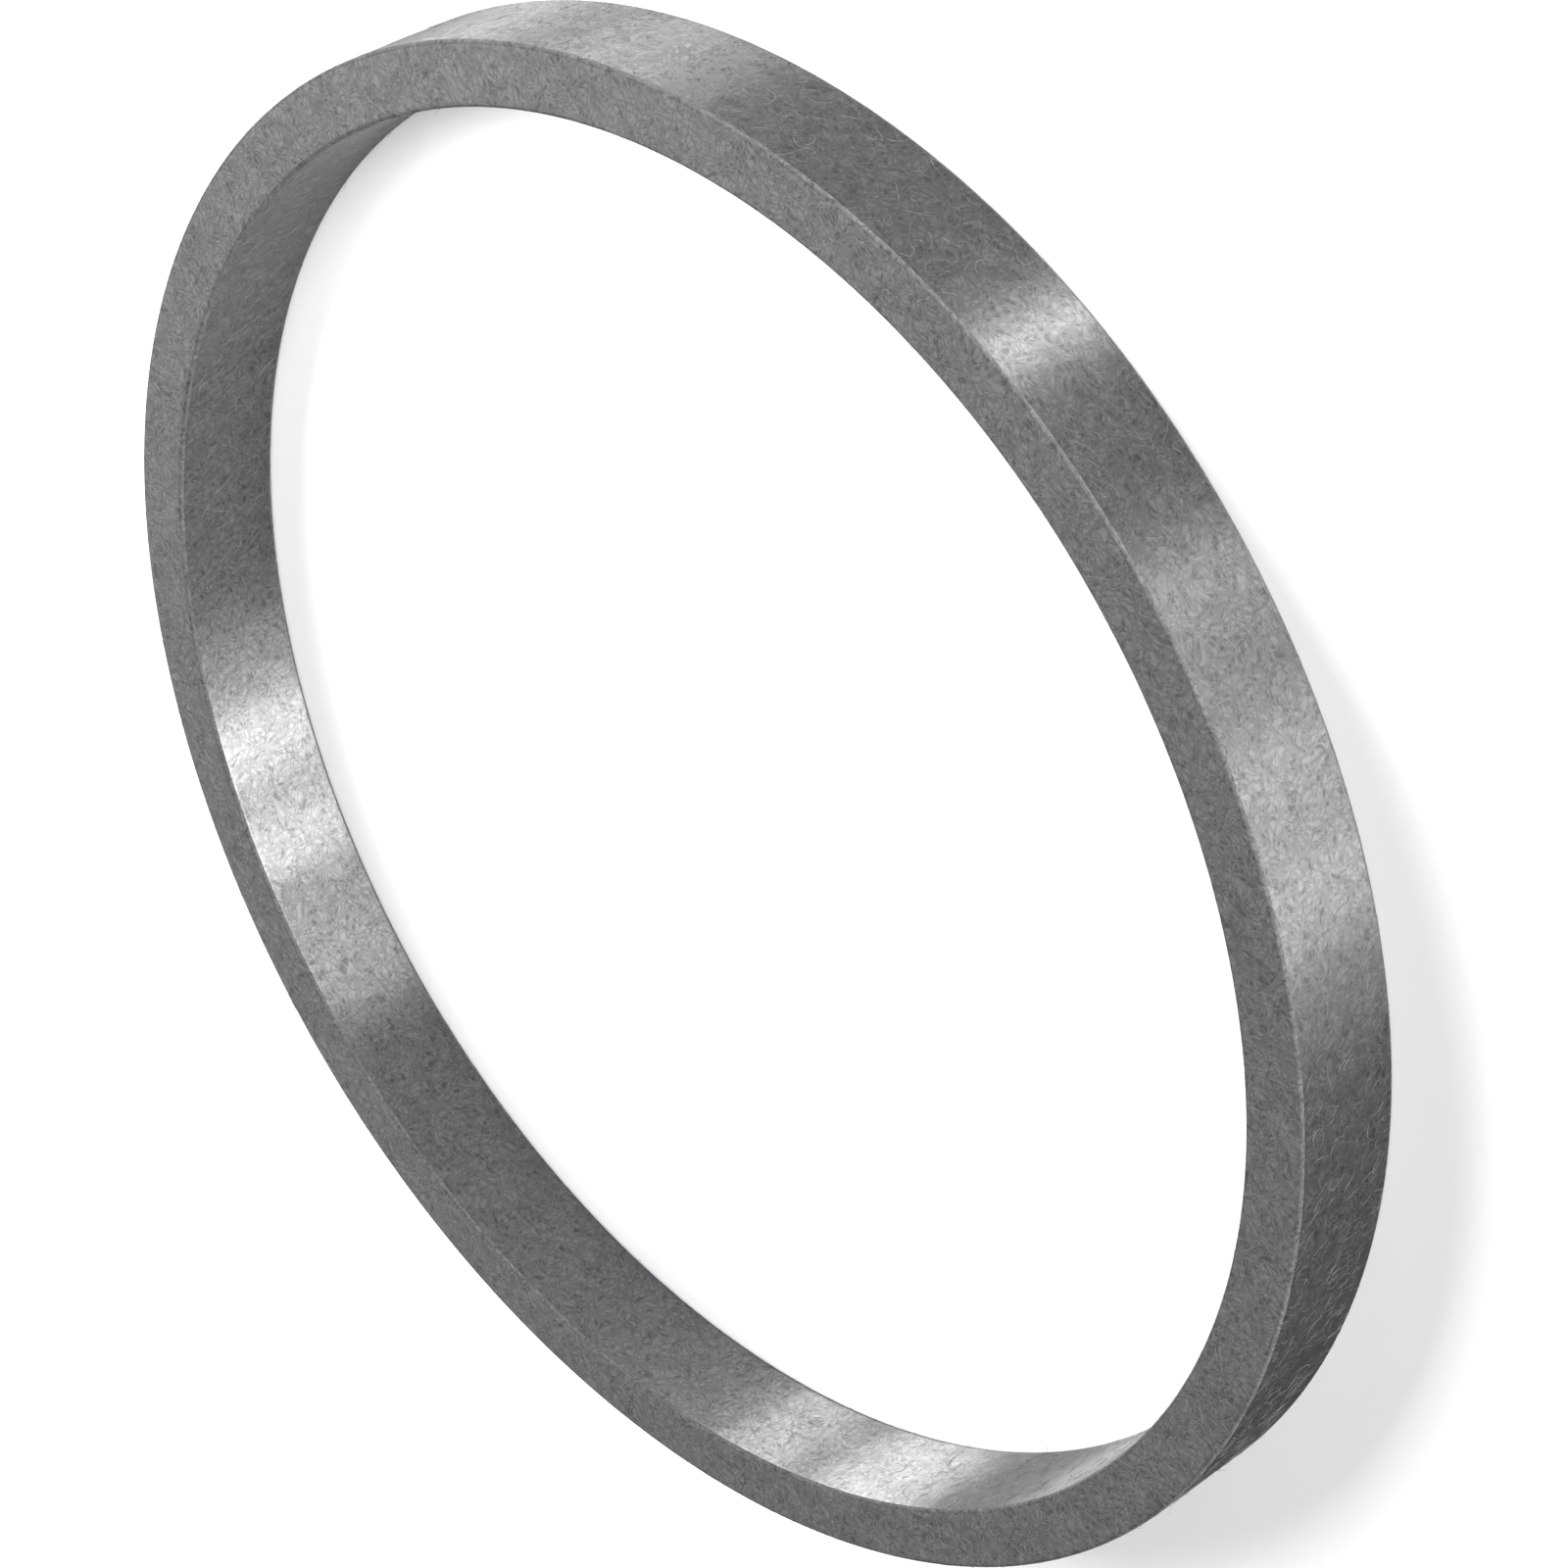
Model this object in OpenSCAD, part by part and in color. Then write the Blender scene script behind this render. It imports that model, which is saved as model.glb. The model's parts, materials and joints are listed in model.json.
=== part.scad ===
// Felt dust seal: one closed ring of pressed wool felt with a plain rectangular section.
// It sits in a groove round a shaft. Its bore wipes the shaft, and its rim fills the groove.
// The ring lies flat: the shaft's axis is Z, and z = 0 is the lower face.

/* [Fit] */
// Bore that wipes the shaft
bore_d = 80; // [20:0.5:200]
// Radial thickness of the felt, from the bore to the groove's floor
wall = 3.5; // [2:0.25:12]
// Axial width of the felt, from one side of the groove to the other
width = 6.75; // [3:0.25:20]

/* [Edges] */
// Radius of the four cut edges
edge_r = 0.2; // [0.05:0.05:0.9]

/* [Hidden] */
bore_r = bore_d / 2;
felt_grey = [0.45, 0.45, 0.45];
// Sides of the ring as a circle, and of an edge as a circle
$fn = 180;
edge_sides = 32;

// Rectangle from the origin with its four corners rounded to a radius of r
module rounded_rectangle(size, r) {
    translate([r, 0]) square([size.x - 2 * r, size.y]);
    translate([0, r]) square([size.x, size.y - 2 * r]);
    for (x = [r, size.x - r], y = [r, size.y - r])
        translate([x, y]) circle(r, $fn = edge_sides);
}

// The felt's section, which stands on z = 0 and starts at the bore
module section() {
    translate([bore_r, 0]) rounded_rectangle([wall, width], edge_r);
}

module felt_ring() {
    color(felt_grey) rotate_extrude() section();
}

felt_ring();
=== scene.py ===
"""Felt dust seal: its pressed felt, the loose wool on it and the studio that it is shown in."""

import json
import math

import bpy
import numpy as np
from mathutils import Matrix, Vector, noise


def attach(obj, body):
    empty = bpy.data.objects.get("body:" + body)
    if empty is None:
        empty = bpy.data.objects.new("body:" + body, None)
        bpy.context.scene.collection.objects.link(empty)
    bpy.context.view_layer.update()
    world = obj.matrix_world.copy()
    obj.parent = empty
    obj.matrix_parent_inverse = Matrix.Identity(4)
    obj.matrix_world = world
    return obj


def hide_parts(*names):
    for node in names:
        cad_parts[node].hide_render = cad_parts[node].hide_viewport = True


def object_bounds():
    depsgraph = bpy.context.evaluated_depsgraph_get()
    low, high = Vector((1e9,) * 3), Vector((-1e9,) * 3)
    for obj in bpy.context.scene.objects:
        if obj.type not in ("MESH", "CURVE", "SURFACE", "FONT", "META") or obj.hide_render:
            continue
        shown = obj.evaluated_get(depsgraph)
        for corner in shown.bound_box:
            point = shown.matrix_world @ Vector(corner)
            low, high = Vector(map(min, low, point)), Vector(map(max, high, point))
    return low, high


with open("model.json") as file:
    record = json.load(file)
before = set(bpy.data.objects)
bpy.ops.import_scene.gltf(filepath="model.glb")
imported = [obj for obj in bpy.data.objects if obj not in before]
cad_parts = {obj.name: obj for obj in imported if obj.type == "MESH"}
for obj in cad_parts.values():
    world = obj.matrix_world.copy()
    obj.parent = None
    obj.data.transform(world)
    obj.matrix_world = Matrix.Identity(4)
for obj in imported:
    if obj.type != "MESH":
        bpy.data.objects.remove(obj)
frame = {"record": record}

bl_info = {
    "name": "Felt dust seal",
    "version": (1, 0, 0),
    "blender": (4, 5, 0),
    "location": "3D View > Sidebar > Felt seal",
    "description": "Dresses a felt ring with matted wool and loose fibres, and lights it",
    "category": "Object",
}

CAD_LOW, CAD_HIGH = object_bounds()
MM = 0.001
BODY = "root"

# Sizes of the ring in metres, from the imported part
BORE_MOUNT = next(mount for mount in frame["record"]["mounts"] if mount["name"] == "shaft_bore")
BORE_RADIUS = BORE_MOUNT["dims"]["r_mm"] * MM
RIM_RADIUS = CAD_HIGH.x
WIDTH = CAD_HIGH.z - CAD_LOW.z
EDGE_RADIUS = (WIDTH - BORE_MOUNT["dims"]["length_mm"] * MM) / 2
MIDDLE = Vector((0, 0, CAD_LOW.z + WIDTH / 2))

# The matted strands and clumps of the felt, and where the pattern on its walls is joined
LIGHT_LEANS = (5, 64, 113, 160)
DARK_LEANS = (33, 87, 141)
STRAND_LENGTH = 3.0 * MM
STRAND_GAP = 0.36 * MM
STRAND_BEND = 1.5 * MM
STRAND_SHARPNESS = 9.0
STRAND_REACH = STRAND_BEND / 3
CLUMP = 1.3 * MM
CLUMP_DETAIL = 2.0
CLUMP_TONE = 0.1
CLUMP_ROUGHNESS = 0.04
PILE_DEPTH = 0.008 * MM
JOIN_AZIMUTH = math.radians(82)

# Places of the four finishes in the body's list of materials
RIM, FACE, BORE, EDGE = range(4)

# The camera's sensor in millimetres, and what it sees in metres
SENSOR_WIDTH = 36.0
NEAREST, FARTHEST = 0.01, 20.0

# Soft boxes: angles in degrees, seen from what they light, and distances in metres
BOX_DISTANCE = 1.2
WALL_STRIP_ELEVATION, WALL_STRIP_HEIGHT = 10, 10
RIM_STRIP_ELEVATION, RIM_STRIP_HEIGHT = 3, 5
RIM_STRIP_DISTANCE = 60 * MM
FACE_BOX_DISTANCE = 65 * MM
FACE_BOX_OUTSIDE = 10 * MM


class Value:
    """A shader socket that takes part in Python expressions."""

    def __init__(self, shader, socket):
        self.shader = shader
        self.socket = socket

    def _maths(self, operation, first, second):
        return self.shader.add("ShaderNodeMath", {"operation": operation}, {0: first, 1: second})

    def __add__(self, other):
        return self._maths("ADD", self, other)

    def __radd__(self, other):
        return self._maths("ADD", other, self)

    def __sub__(self, other):
        return self._maths("SUBTRACT", self, other)

    def __rsub__(self, other):
        return self._maths("SUBTRACT", other, self)

    def __mul__(self, other):
        return self._maths("MULTIPLY", self, other)

    def __rmul__(self, other):
        return self._maths("MULTIPLY", other, self)

    def __abs__(self):
        return self.shader.add("ShaderNodeMath", {"operation": "ABSOLUTE"}, {0: self})

    def over(self, other):
        """The larger of the two."""
        return self._maths("MAXIMUM", self, other)


class Shader:
    """A material with its nodes and its surface."""

    def __init__(self, name):
        self.material = bpy.data.materials.new(name)
        self.material.use_nodes = True
        self.nodes = self.material.node_tree.nodes
        self.links = self.material.node_tree.links
        self.surface = self.nodes["Principled BSDF"]

    def add(self, kind, settings=None, sockets=None, output=0):
        """Adds a node, with its settings first and then its sockets, and gives one of its outputs."""
        node = self.nodes.new(kind)
        for name, value in (settings or {}).items():
            setattr(node, name, value)
        for name, value in (sockets or {}).items():
            self.feed(node, name, value)
        return Value(self, node.outputs[output])

    def feed(self, node, name, value):
        """Links a socket to another node, or sets it."""
        if isinstance(value, Value):
            self.links.new(value.socket, node.inputs[name])
        else:
            node.inputs[name].default_value = value

    def grain(self, places, size, detail):
        """Noise about 0 whose lumps have this size along x, y and z."""
        scaled = self.add(
            "ShaderNodeVectorMath",
            {"operation": "MULTIPLY"},
            {0: places, 1: tuple(1 / length for length in size)},
        )
        lumps = {"Vector": scaled, "Scale": 1.0, "Detail": detail}
        return self.add("ShaderNodeTexNoise", {}, lumps) - 0.5

    def round_ring(self, places, radius):
        """The distance round the ring and the height, as x and y, with their break at the join."""
        turned = self.add(
            "ShaderNodeVectorRotate",
            {"rotation_type": "Z_AXIS"},
            {"Vector": places, "Angle": math.pi - JOIN_AZIMUTH},
        )
        x, y, height = (self.add("ShaderNodeSeparateXYZ", {}, {"Vector": turned}, axis) for axis in "XYZ")
        turn = self.add("ShaderNodeMath", {"operation": "ARCTAN2"}, {0: y, 1: x})
        return self.add("ShaderNodeCombineXYZ", {}, {"X": turn * radius, "Y": height})

    def bent(self, places, size, reach):
        """Places that are moved about, by up to this reach, in bends of this size."""
        coarse = self.add("ShaderNodeVectorMath", {"operation": "SCALE"}, {0: places, "Scale": 1 / size})
        bends = {"Vector": coarse, "Scale": 1.0, "Detail": 0.0}
        swirl = self.add("ShaderNodeTexNoise", {}, bends, output="Color")
        away = self.add("ShaderNodeVectorMath", {"operation": "SUBTRACT"}, {0: swirl, 1: (0.5, 0.5, 0.5)})
        return self.add(
            "ShaderNodeVectorMath",
            {"operation": "MULTIPLY_ADD"},
            {0: away, 1: (2 * reach, 2 * reach, 2 * reach), 2: places},
        )

    def strands(self, places, leans):
        """Fine strands that lie at these angles over x and y, from 0 between them to 1 on them."""
        mat = 0.0
        for lean in leans:
            laid = self.add(
                "ShaderNodeMapping",
                {"vector_type": "TEXTURE"},
                {
                    "Vector": places,
                    "Location": (0, 0, lean * STRAND_GAP),
                    "Rotation": (0, 0, math.radians(lean)),
                    "Scale": (STRAND_LENGTH, STRAND_GAP, STRAND_GAP),
                },
            )
            noise_in = {"Vector": laid, "Scale": 1.0, "Detail": 0.0}
            wander = self.add("ShaderNodeTexNoise", {}, noise_in) - 0.5
            mat = (1 - STRAND_SHARPNESS * abs(wander)).over(mat)
        return mat

    def blend(self, share, first, second):
        """A colour between two, by a share from 0 to 1."""
        return self.add(
            "ShaderNodeMix",
            {"data_type": "RGBA", "clamp_factor": True},
            {0: share, 6: (*first, 1.0), 7: (*second, 1.0)},
            output=2,
        )

    def finish(self, sockets):
        """Feeds the surface and gives the material."""
        for name, value in sockets.items():
            self.feed(self.surface, name, value)
        return self.material


class FeltSettings(bpy.types.PropertyGroup):
    """Sizes and colours of the felt."""

    steps_around: bpy.props.IntProperty(
        name="Steps around", description="Faces round the ring", default=1080, min=90
    )
    step_across: bpy.props.FloatProperty(
        name="Step across", description="Longest face across the felt's section",
        default=0.26 * MM, unit="LENGTH",
    )
    relief: bpy.props.FloatProperty(
        name="Relief", description="Height of the felt's lumps",
        default=0.002 * MM, unit="LENGTH",
    )
    dark_wool: bpy.props.FloatVectorProperty(
        name="Dark wool", description="Colour of the darker wool",
        default=(0.025, 0.025, 0.025), subtype="COLOR", min=0.0, max=1.0,
    )
    light_wool: bpy.props.FloatVectorProperty(
        name="Light wool", description="Colour of the lighter wool",
        default=(0.2, 0.2, 0.2), subtype="COLOR", min=0.0, max=1.0,
    )


class FibreSettings(bpy.types.PropertyGroup):
    """Sizes and numbers of the loose fibres."""

    wall_count: bpy.props.IntProperty(
        name="Fibres on a wall", description="Loose fibres on the rim, and as many in the bore",
        default=5500, min=0,
    )
    face_count: bpy.props.IntProperty(
        name="Fibres on a face", description="Loose fibres on each of the two faces",
        default=4000, min=0,
    )
    stray_count: bpy.props.IntProperty(
        name="Stray fibres", description="Fibres whose tips stand away from the felt",
        default=3500, min=0,
    )
    thickness: bpy.props.FloatProperty(
        name="Fibre thickness", description="Of the thickest wool fibre",
        default=0.026 * MM, unit="LENGTH",
    )


class StudioSettings(bpy.types.PropertyGroup):
    """The camera, the floor and the air."""

    distance: bpy.props.FloatProperty(
        name="Camera distance", description="From the camera to the middle of the ring",
        default=0.24576, unit="LENGTH",
    )
    elevation: bpy.props.FloatProperty(
        name="Camera elevation", description="Angle of the camera above the ring's faces",
        default=math.radians(34.8), subtype="ANGLE",
    )
    axis_lean: bpy.props.FloatProperty(
        name="Axis lean", description="Clockwise angle of the ring's axis from the picture's right",
        default=math.radians(150.858), subtype="ANGLE",
    )
    lens: bpy.props.FloatProperty(
        name="Lens", description="Focal length in millimetres, for a sensor of 36 mm",
        default=106.22, unit="CAMERA",
    )
    shift: bpy.props.FloatVectorProperty(
        name="Shift", description="Of the picture past the ring's middle, as a share of its width",
        default=(0.04866, 0.01811), size=2,
    )
    floor_grey: bpy.props.FloatVectorProperty(
        name="Floor", description="Colour of the floor",
        default=(0.92, 0.92, 0.92), subtype="COLOR", min=0.0, max=1.0,
    )
    air: bpy.props.FloatProperty(
        name="Air", description="Strength of the soft light from all around", default=0.15, min=0.0
    )


class Section:
    """The felt's section as points round its outline, from the rim's foot upwards."""

    SIDES = ("rim", "upper_face", "bore", "lower_face")
    ARC_STEPS = 4

    def __init__(self, step):
        near, far = BORE_RADIUS + EDGE_RADIUS, RIM_RADIUS - EDGE_RADIUS
        low, high = CAD_LOW.z + EDGE_RADIUS, CAD_HIGH.z - EDGE_RADIUS
        corners = np.array([(far, high), (near, high), (near, low), (far, low)])
        places, ways, runs = [], [], {}
        for index, side in enumerate(self.SIDES):
            way = self.way_out(90 * index)
            first, last = corners[index - 1] + EDGE_RADIUS * way, corners[index] + EDGE_RADIUS * way
            pieces = math.ceil(np.linalg.norm(last - first) / step)
            runs[side] = (len(places), len(places) + pieces)
            for share in np.arange(pieces) / pieces:
                places.append(first + (last - first) * share)
                ways.append(way)
            for share in np.arange(self.ARC_STEPS) / self.ARC_STEPS:
                ways.append(self.way_out(90 * (index + share)))
                places.append(corners[index] + EDGE_RADIUS * ways[-1])
        self.places, self.ways = np.array(places), np.array(ways)
        gaps = np.linalg.norm(np.roll(self.places, -1, axis=0) - self.places, axis=1)
        self.along = np.concatenate([[0.0], np.cumsum(gaps)])
        self.length = self.along[-1]
        self.runs = {side: (self.along[start], self.along[end]) for side, (start, end) in runs.items()}

    @staticmethod
    def way_out(degrees):
        """The way out of the felt, as a radius and a height."""
        return np.array([math.cos(math.radians(degrees)), math.sin(math.radians(degrees))])

    def at(self, along):
        """Places and ways out at these distances along the outline."""
        table = np.concatenate([self.places, self.ways], axis=1)
        found = [np.interp(along, self.along[:-1], column, period=self.length) for column in table.T]
        return np.stack(found[:2], axis=-1), np.stack(found[2:], axis=-1)


def swing(turn, flat):
    """Turns radii and heights round the ring's axis into places in space."""
    radius, height = flat[..., 0], flat[..., 1]
    return np.stack(np.broadcast_arrays(np.cos(turn) * radius, np.sin(turn) * radius, height), axis=-1)


def relief(places, felt):
    """Height of the felt's lumps over the plain form."""
    lumps = [noise.noise(place / CLUMP) for place in map(Vector, places.reshape(-1, 3))]
    return felt.relief * np.array(lumps).reshape(places.shape[:-1])


def raise_wool(places, ways, heights):
    """Moves places out of the felt by these heights, and none below the lower face."""
    moved = places + ways * heights[..., None]
    moved[..., 2] = np.maximum(moved[..., 2], CAD_LOW.z)
    return moved


def new_piece(name, mesh, *materials):
    """Puts a mesh in the scene as a piece of the felt."""
    mesh.shade_smooth()
    for material in materials:
        mesh.materials.append(material)
    piece = bpy.data.objects.new(name, mesh)
    bpy.context.scene.collection.objects.link(piece)
    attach(piece, BODY)
    return piece


def body_mesh(felt):
    """The closed ring of felt, with a finish each for the rim, the faces, the bore and the edges."""
    section = Section(felt.step_across)
    around, across = felt.steps_around, len(section.places)
    turn = np.linspace(0, 2 * math.pi, around, endpoint=False)[:, None]
    places, ways = swing(turn, section.places), swing(turn, section.ways)
    places = raise_wool(places, ways, relief(places, felt))
    here = np.arange(around)[:, None] * across + np.arange(across)
    ahead = np.roll(here, -1, axis=0)
    quads = np.stack([here, ahead, np.roll(ahead, -1, axis=1), np.roll(here, -1, axis=1)], axis=2)
    mesh = bpy.data.meshes.new("felt_body")
    mesh.from_pydata(places.reshape(-1, 3).tolist(), [], quads.reshape(-1, 4).tolist())
    way = section.ways + np.roll(section.ways, -1, axis=0)
    outward, upward = np.round(way[:, 0], 3), np.round(way[:, 1], 3)
    finish = np.select([outward * upward != 0, upward != 0, outward > 0], [EDGE, FACE, RIM], BORE)
    mesh.polygons.foreach_set("material_index", np.tile(finish, around).astype(np.int32))
    lay_strip(mesh, section, around)
    return mesh


def lay_strip(mesh, section, around):
    """Lays the ring's skin out flat as a strip that is cut into rows."""
    rows = 4
    margin = 0.02
    step = np.arange(around)
    per_row = around // rows
    left = (step % per_row) / per_row
    right = left + 1 / per_row
    row = step // per_row
    low, high = section.along[:-1] / section.length, section.along[1:] / section.length
    corners = np.empty((around, len(low), 4, 2))
    for index, (across, up) in enumerate(((left, low), (right, low), (right, high), (left, high))):
        corners[:, :, index, 0] = margin + (1 - 2 * margin) * across[:, None]
        corners[:, :, index, 1] = (row[:, None] + margin + (1 - 2 * margin) * up) / rows
    layer = mesh.uv_layers.new(name="OFBake")
    layer.data.foreach_set("uv", corners.ravel())


def fibre_mesh(name, felt, section, lie, draw):
    """Thin three-sided tubes that lie on the felt, each with a bend and a lift of its own."""
    points, sides = 5, 3
    thinnest = 0.5
    tip_taper = 0.7
    shortest = 1e-12
    share = np.linspace(-0.5, 0.5, points)
    count = lie["count"]
    length = draw.uniform(*lie["length"], (count, 1))
    radius = draw.uniform(thinnest, 1.0, (count, 1)) * lie["thickness"] / 2
    lean = draw.normal(0.0, lie["lean"], (count, 1)) + draw.normal(0.0, lie["bend"], (count, 1)) * share
    start, end = lie["run"]
    along = draw.uniform(start, end, (count, 1)) + length * share * np.sin(lean)
    if lie["stays"]:
        along = np.clip(along, start, end)
    flat, ways = section.at(along)
    turn = draw.uniform(0, 2 * math.pi, (count, 1)) + length * share * np.cos(lean) / flat[..., 0]
    places, ways = swing(turn, flat), swing(turn, ways)
    lift = radius * draw.uniform(*lie["lift"], (count, 1))
    lift = lift + draw.exponential(lie["hump"], (count, 1)) * (1 - (2 * share) ** 2)
    lift = lift + draw.exponential(lie["tip"], (count, 1)) * (share + 0.5) ** 2
    places = raise_wool(places, ways, relief(places, felt) + lift)
    course = np.gradient(places, axis=1)
    aside = np.cross(course, ways)
    aside /= np.maximum(np.linalg.norm(aside, axis=2, keepdims=True), shortest)
    taper = radius * (1 - tip_taper * np.abs(2 * share) ** 3)
    rings = []
    for side in range(sides):
        angle = 2 * math.pi * side / sides + math.pi / 2
        rings.append(places + taper[..., None] * (math.cos(angle) * aside + math.sin(angle) * ways))
    tubes = np.stack(rings, axis=2)
    tubes[..., 2] = np.maximum(tubes[..., 2], CAD_LOW.z)
    corner = np.arange(count * points * sides).reshape(count, points, sides)
    here, beside = corner, np.roll(corner, -1, axis=2)
    skin = np.stack([here[:, :-1], beside[:, :-1], beside[:, 1:], here[:, 1:]], axis=3).reshape(-1, 4)
    faces = skin.tolist() + corner[:, 0, ::-1].tolist() + corner[:, -1].tolist()
    mesh = bpy.data.meshes.new(name)
    mesh.from_pydata(tubes.reshape(-1, 3).tolist(), [], faces)
    return mesh


def pressed_wool(name, felt, tone, contrast, roughness, finish, radius=None, depth=None):
    """Matted wool in uneven clumps, laid round a wall of this radius, or flat with a pile of this depth."""
    shader = Shader(name)
    places = shader.add("ShaderNodeTexCoord", output="Object")
    skin = shader.round_ring(places, radius) if radius else places
    skin = shader.bent(skin, STRAND_BEND, STRAND_REACH)
    strands = shader.strands(skin, LIGHT_LEANS) - shader.strands(skin, DARK_LEANS)
    clumps = shader.grain(places, (CLUMP, CLUMP, CLUMP), CLUMP_DETAIL)
    share = tone + contrast * strands + CLUMP_TONE * clumps
    if depth:
        pile = {"Strength": 1.0, "Distance": depth, "Height": strands}
        finish = {**finish, "Normal": shader.add("ShaderNodeBump", {}, pile)}
    return shader.finish({
        "Base Color": shader.blend(share, felt.dark_wool, felt.light_wool),
        "Roughness": roughness + CLUMP_ROUGHNESS * clumps,
        **finish,
    })


def sheen(gloss, edge):
    """The satin sheen of a smoothed wall, spread across its height, and its tint seen edge on."""
    quarter_turn = 0.25
    return {
        "Metallic": gloss,
        "Specular Tint": (edge, edge, edge, 1.0),
        "Anisotropic": 1.0,
        "Anisotropic Rotation": quarter_turn,
    }


def loose_wool(name, felt, tone, spread):
    """Loose fibres, each with a grey of its own about a tone."""
    shader = Shader(name)
    own = shader.add("ShaderNodeNewGeometry", output="Random Per Island")
    return shader.finish({
        "Base Color": shader.blend(tone - spread + 2 * spread * own, felt.dark_wool, felt.light_wool),
        "Roughness": 0.6,
    })


class SEAL_OT_felt_body(bpy.types.Operator):
    """Makes the ring of pressed felt in place of the plain solid"""

    bl_idname = "seal.felt_body"
    bl_label = "Felt body"

    def execute(self, context):
        felt = context.scene.seal_felt
        # Painted light and shade: the rim, faces and bore are one felt, but each gets its own tone, lighter
        # or darker to match how brightly that surface shows under the lamps, on top of the felt's real
        # mottle
        rim = pressed_wool(
            "rim_felt", felt, tone=0.33, contrast=0.18, roughness=0.46,
            finish=sheen(gloss=0.8, edge=0.0), radius=RIM_RADIUS,
        )
        faces = pressed_wool(
            "face_felt", felt, tone=0.355, contrast=0.22, roughness=0.8,
            finish={"Metallic": 0.35, "Specular IOR Level": 0.2}, depth=PILE_DEPTH,
        )
        bore = pressed_wool(
            "bore_felt", felt, tone=0.6, contrast=0.31, roughness=0.34,
            finish=sheen(gloss=0.95, edge=0.85), radius=BORE_RADIUS,
        )
        # Painted shade: the rounded edges get a darker grey than the faces and walls, to dim the highlight
        # along them
        edges = pressed_wool(
            "edge_felt", felt, tone=0.22, contrast=0.16, roughness=0.8,
            finish={"Specular IOR Level": 0.0}, depth=PILE_DEPTH,
        )
        body = new_piece("felt_body", body_mesh(felt), rim, faces, bore, edges)
        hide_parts("felt_ring")
        return {"FINISHED"}


class SEAL_OT_loose_fibres(bpy.types.Operator):
    """Lays the loose fibres on the rim, in the bore and on both faces"""

    bl_idname = "seal.loose_fibres"
    bl_label = "Loose fibres"

    def execute(self, context):
        felt, fibres = context.scene.seal_felt, context.scene.seal_fibres
        section = Section(felt.step_across)
        flat = {
            "length": (0.6 * MM, 2 * MM), "lean": math.radians(80), "bend": math.radians(90),
            "hump": 0.001 * MM, "tip": 0.001 * MM, "thickness": fibres.thickness,
            "lift": (-0.9, -0.2), "stays": True,
        }
        stray = {
            **flat, "tip": 0.12 * MM, "thickness": 0.8 * fibres.thickness, "lift": (-0.6, 0.4),
            "count": fibres.stray_count, "run": (0, section.length), "stays": False,
        }
        wall_wool = loose_wool("wall_wool", felt, tone=0.34, spread=0.3)
        face_wool = loose_wool("face_wool", felt, tone=0.42, spread=0.4)
        lies = [("stray_fibres", stray, wall_wool)]
        for side in Section.SIDES:
            on_face = side.endswith("face")
            count = fibres.face_count if on_face else fibres.wall_count
            lie = {**flat, "count": count, "run": section.runs[side]}
            lies.append((side + "_fibres", lie, face_wool if on_face else wall_wool))
        for seed, (name, lie, wool) in enumerate(lies):
            draw = np.random.default_rng(seed)
            new_piece(name, fibre_mesh(name, felt, section, lie, draw), wool)
        return {"FINISHED"}


def ring_spot(azimuth, radius, height):
    """A place at this angle round the ring's axis."""
    turn = math.radians(azimuth)
    return Vector((radius * math.cos(turn), radius * math.sin(turn), height))


def soft_box(name, azimuth, elevation, span, power, distance=BOX_DISTANCE, centre=MIDDLE, spread=180):
    """A lamp that faces a centre, with its place and its span as angles seen from there."""
    way = Vector((math.cos(math.radians(elevation)), 0, math.sin(math.radians(elevation))))
    way.rotate(Matrix.Rotation(math.radians(azimuth), 3, "Z"))
    light = bpy.data.lights.new(name, "AREA")
    light.shape = "RECTANGLE"
    light.size, light.size_y = (2 * distance * math.tan(math.radians(angle / 2)) for angle in span)
    light.energy = power
    light.spread = math.radians(spread)
    box = bpy.data.objects.new(name, light)
    box.location = centre + way * distance
    box.rotation_euler = way.to_track_quat("Z", "Y").to_euler()
    box.visible_camera = False
    bpy.context.scene.collection.objects.link(box)


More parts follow.
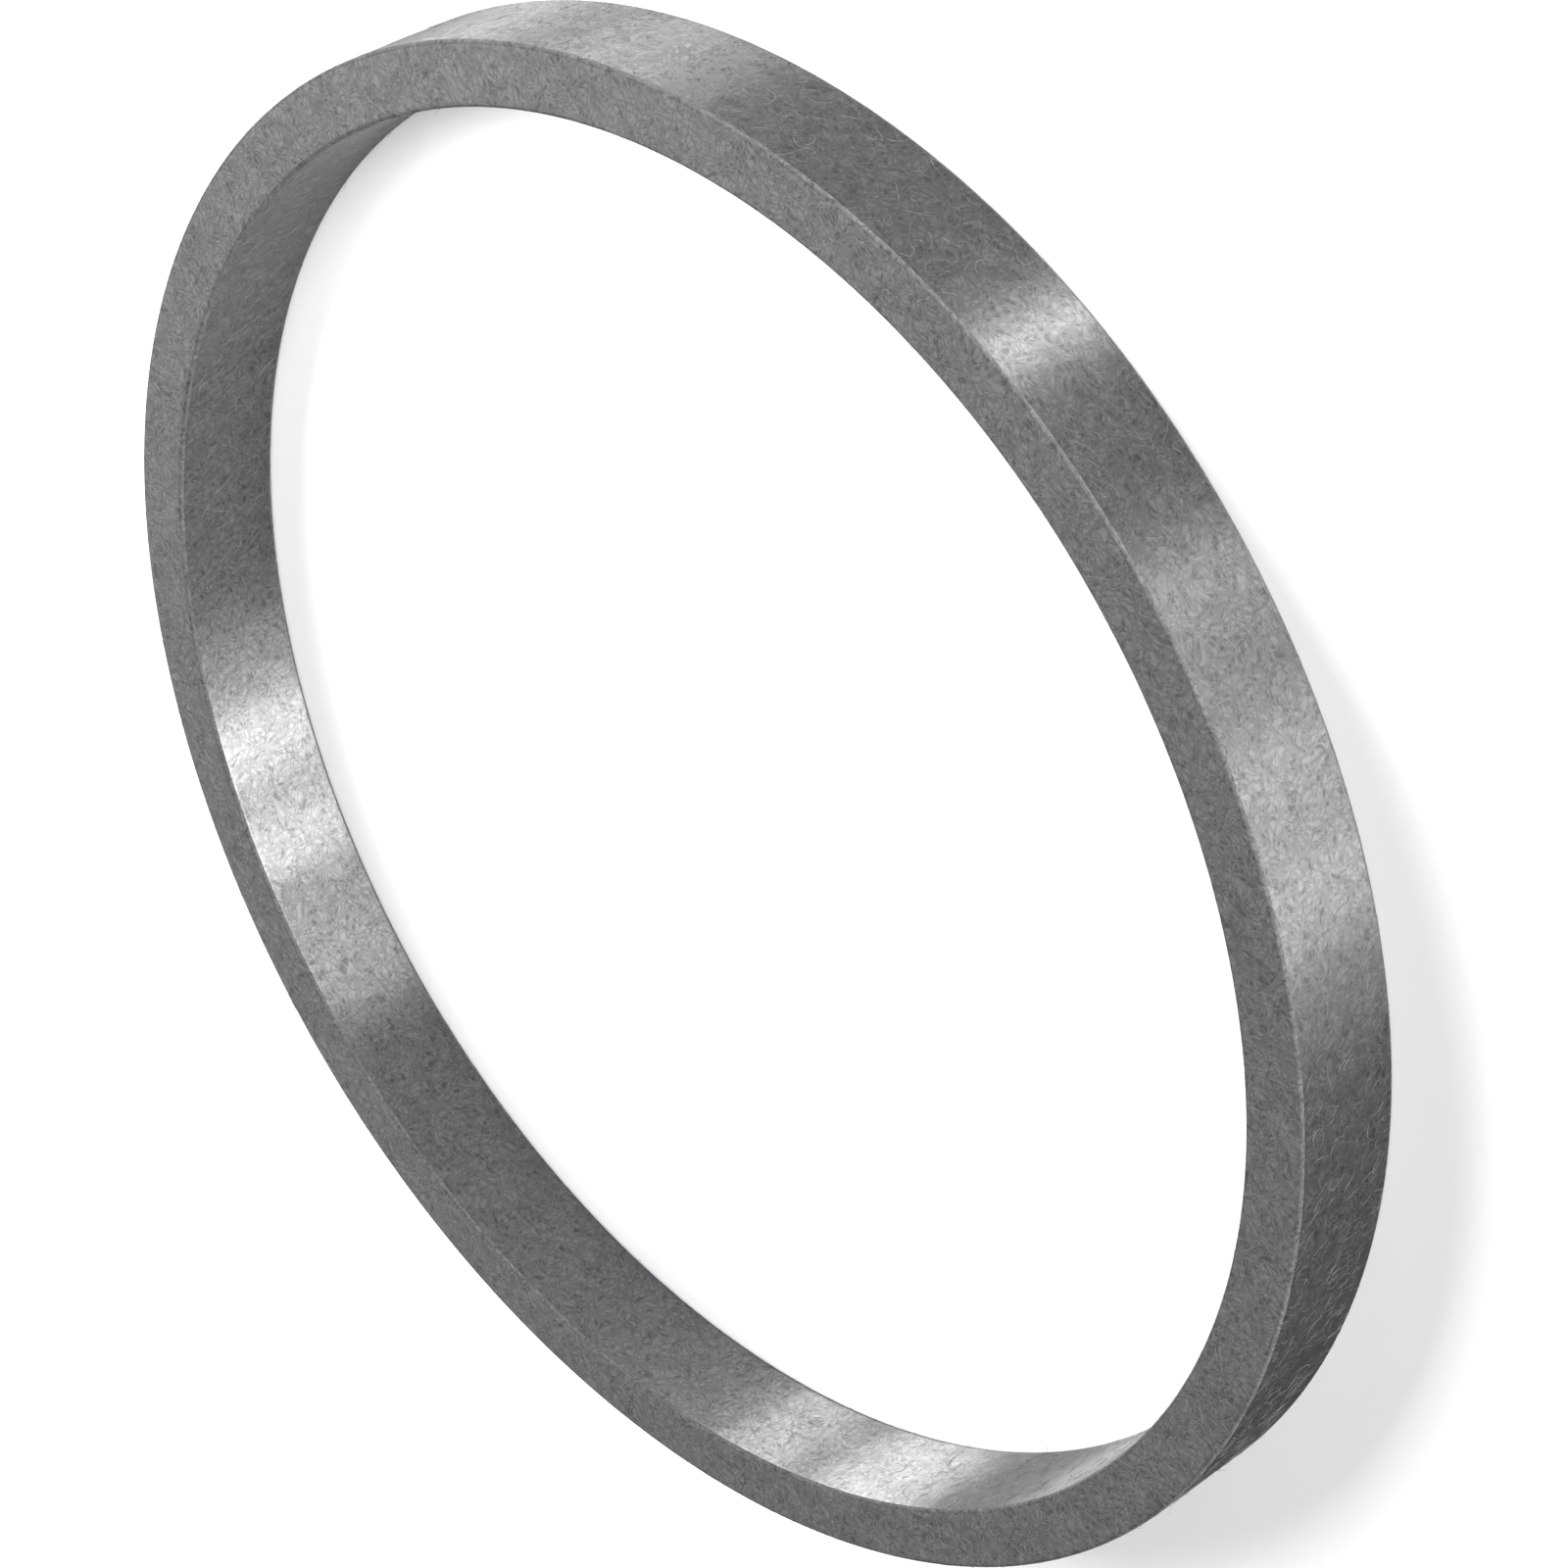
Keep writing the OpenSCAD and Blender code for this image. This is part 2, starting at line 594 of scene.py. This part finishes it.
class SEAL_OT_studio(bpy.types.Operator):
    """Makes the floor, the air, the lamps and the camera"""

    bl_idname = "seal.studio"
    bl_label = "Studio"

    def execute(self, context):
        studio = context.scene.seal_studio
        self.make_floor(context, studio)
        self.make_air(context, studio)
        self.make_lamps()
        self.make_camera(context, studio)
        return {"FINISHED"}

    def make_floor(self, context, studio):
        """A plain pale floor under the ring."""
        reach = 6.0
        corners = [(-reach, -reach, 0), (reach, -reach, 0), (reach, reach, 0), (-reach, reach, 0)]
        mesh = bpy.data.meshes.new("floor")
        mesh.from_pydata(corners, [], [(0, 1, 2, 3)])
        mesh.materials.append(Shader("pale_floor").finish({
            "Base Color": (*studio.floor_grey, 1.0), "Roughness": 1.0, "Specular IOR Level": 0.0,
        }))
        floor = bpy.data.objects.new("floor", mesh)
        context.scene.collection.objects.link(floor)

    def make_air(self, context, studio):
        """Soft light from all around."""
        world = bpy.data.worlds.new("studio_air")
        world.use_nodes = True
        air = world.node_tree.nodes["Background"]
        air.inputs["Color"].default_value = (1, 1, 1, 1)
        air.inputs["Strength"].default_value = studio.air
        context.scene.world = world

    def make_lamps(self):
        """Soft boxes low round the ring, which its walls show as bands, and two above its face."""
        # Azimuth, span and power in watts of each box that both walls show
        wall_strips = (
            (-56, 12, 3.6), (-43, 12, 18.4), (-27.5, 11, 15.2), (-9, 18, 9.6),
            (96.5, 10, 10.8), (117.5, 17, 25.0), (150.5, 8, 6.2),
        )
        for index, (azimuth, span, power) in enumerate(wall_strips):
            size = (span, WALL_STRIP_HEIGHT)
            soft_box("wall_strip_%d" % index, azimuth, WALL_STRIP_ELEVATION, size, power)
        soft_box("high_box", azimuth=120, elevation=48, span=(45, 30), power=0.95, distance=0.3)
        soft_box(
            "face_box", azimuth=0, elevation=90, span=(30, 30), power=0.015, distance=FACE_BOX_DISTANCE,
            centre=ring_spot(66, RIM_RADIUS + FACE_BOX_OUTSIDE, CAD_HIGH.z), spread=120,
        )
        # Place round the rim, azimuth, span and power in watts of each box that the rim alone shows
        rim_strips = ((-2, -4.5, 14, 0.013), (15, 31, 3, 0.046), (46, 86, 16, 0.017))
        for index, (spot, azimuth, span, power) in enumerate(rim_strips):
            centre = ring_spot(spot, RIM_RADIUS, 0.0)
            size = (span, RIM_STRIP_HEIGHT)
            name = "rim_strip_%d" % index
            soft_box(name, azimuth, RIM_STRIP_ELEVATION, size, power, RIM_STRIP_DISTANCE, centre)

    def make_camera(self, context, studio):
        """The camera at the picture's angle, with the ring's axis leaning as it does there."""
        lens = bpy.data.cameras.new("camera")
        lens.sensor_width = SENSOR_WIDTH
        lens.lens = studio.lens
        lens.shift_x, lens.shift_y = studio.shift
        lens.clip_start, lens.clip_end = NEAREST, FARTHEST
        camera = bpy.data.objects.new("camera", lens)
        back = Vector((math.cos(studio.elevation), 0, math.sin(studio.elevation)))
        axis_way = Vector((-math.sin(studio.elevation), 0, math.cos(studio.elevation)))
        side_way = Vector((0, 1, 0))
        right = axis_way * math.cos(studio.axis_lean) - side_way * math.sin(studio.axis_lean)
        up = -axis_way * math.sin(studio.axis_lean) - side_way * math.cos(studio.axis_lean)
        turn = Matrix((right, up, back)).transposed().to_4x4()
        camera.matrix_world = Matrix.Translation(MIDDLE + back * studio.distance) @ turn
        context.scene.collection.objects.link(camera)
        context.scene.camera = camera
        context.scene.view_settings.view_transform = "Standard"


class SEAL_PT_sidebar(bpy.types.Panel):
    """Lists the seal's sizes and colours and the steps that make it"""

    bl_idname = "SEAL_PT_sidebar"
    bl_label = "Felt dust seal"
    bl_space_type = "VIEW_3D"
    bl_region_type = "UI"
    bl_category = "Felt seal"

    def draw(self, context):
        scene = context.scene
        for settings in (scene.seal_felt, scene.seal_fibres, scene.seal_studio):
            for name in settings.__annotations__:
                self.layout.prop(settings, name)
        for step in STEPS:
            self.layout.operator(step.bl_idname)


STEPS = (SEAL_OT_felt_body, SEAL_OT_loose_fibres, SEAL_OT_studio)
SETTINGS = {"seal_felt": FeltSettings, "seal_fibres": FibreSettings, "seal_studio": StudioSettings}


def register():
    for kind in (*SETTINGS.values(), *STEPS, SEAL_PT_sidebar):
        bpy.utils.register_class(kind)
    for name, kind in SETTINGS.items():
        setattr(bpy.types.Scene, name, bpy.props.PointerProperty(type=kind))


def unregister():
    for name in SETTINGS:
        delattr(bpy.types.Scene, name)
    for kind in (SEAL_PT_sidebar, *reversed(STEPS), *SETTINGS.values()):
        bpy.utils.unregister_class(kind)


def main():
    register()
    bpy.ops.seal.felt_body()
    bpy.ops.seal.loose_fibres()
    bpy.ops.seal.studio()


if __name__ == "__main__":
    main()
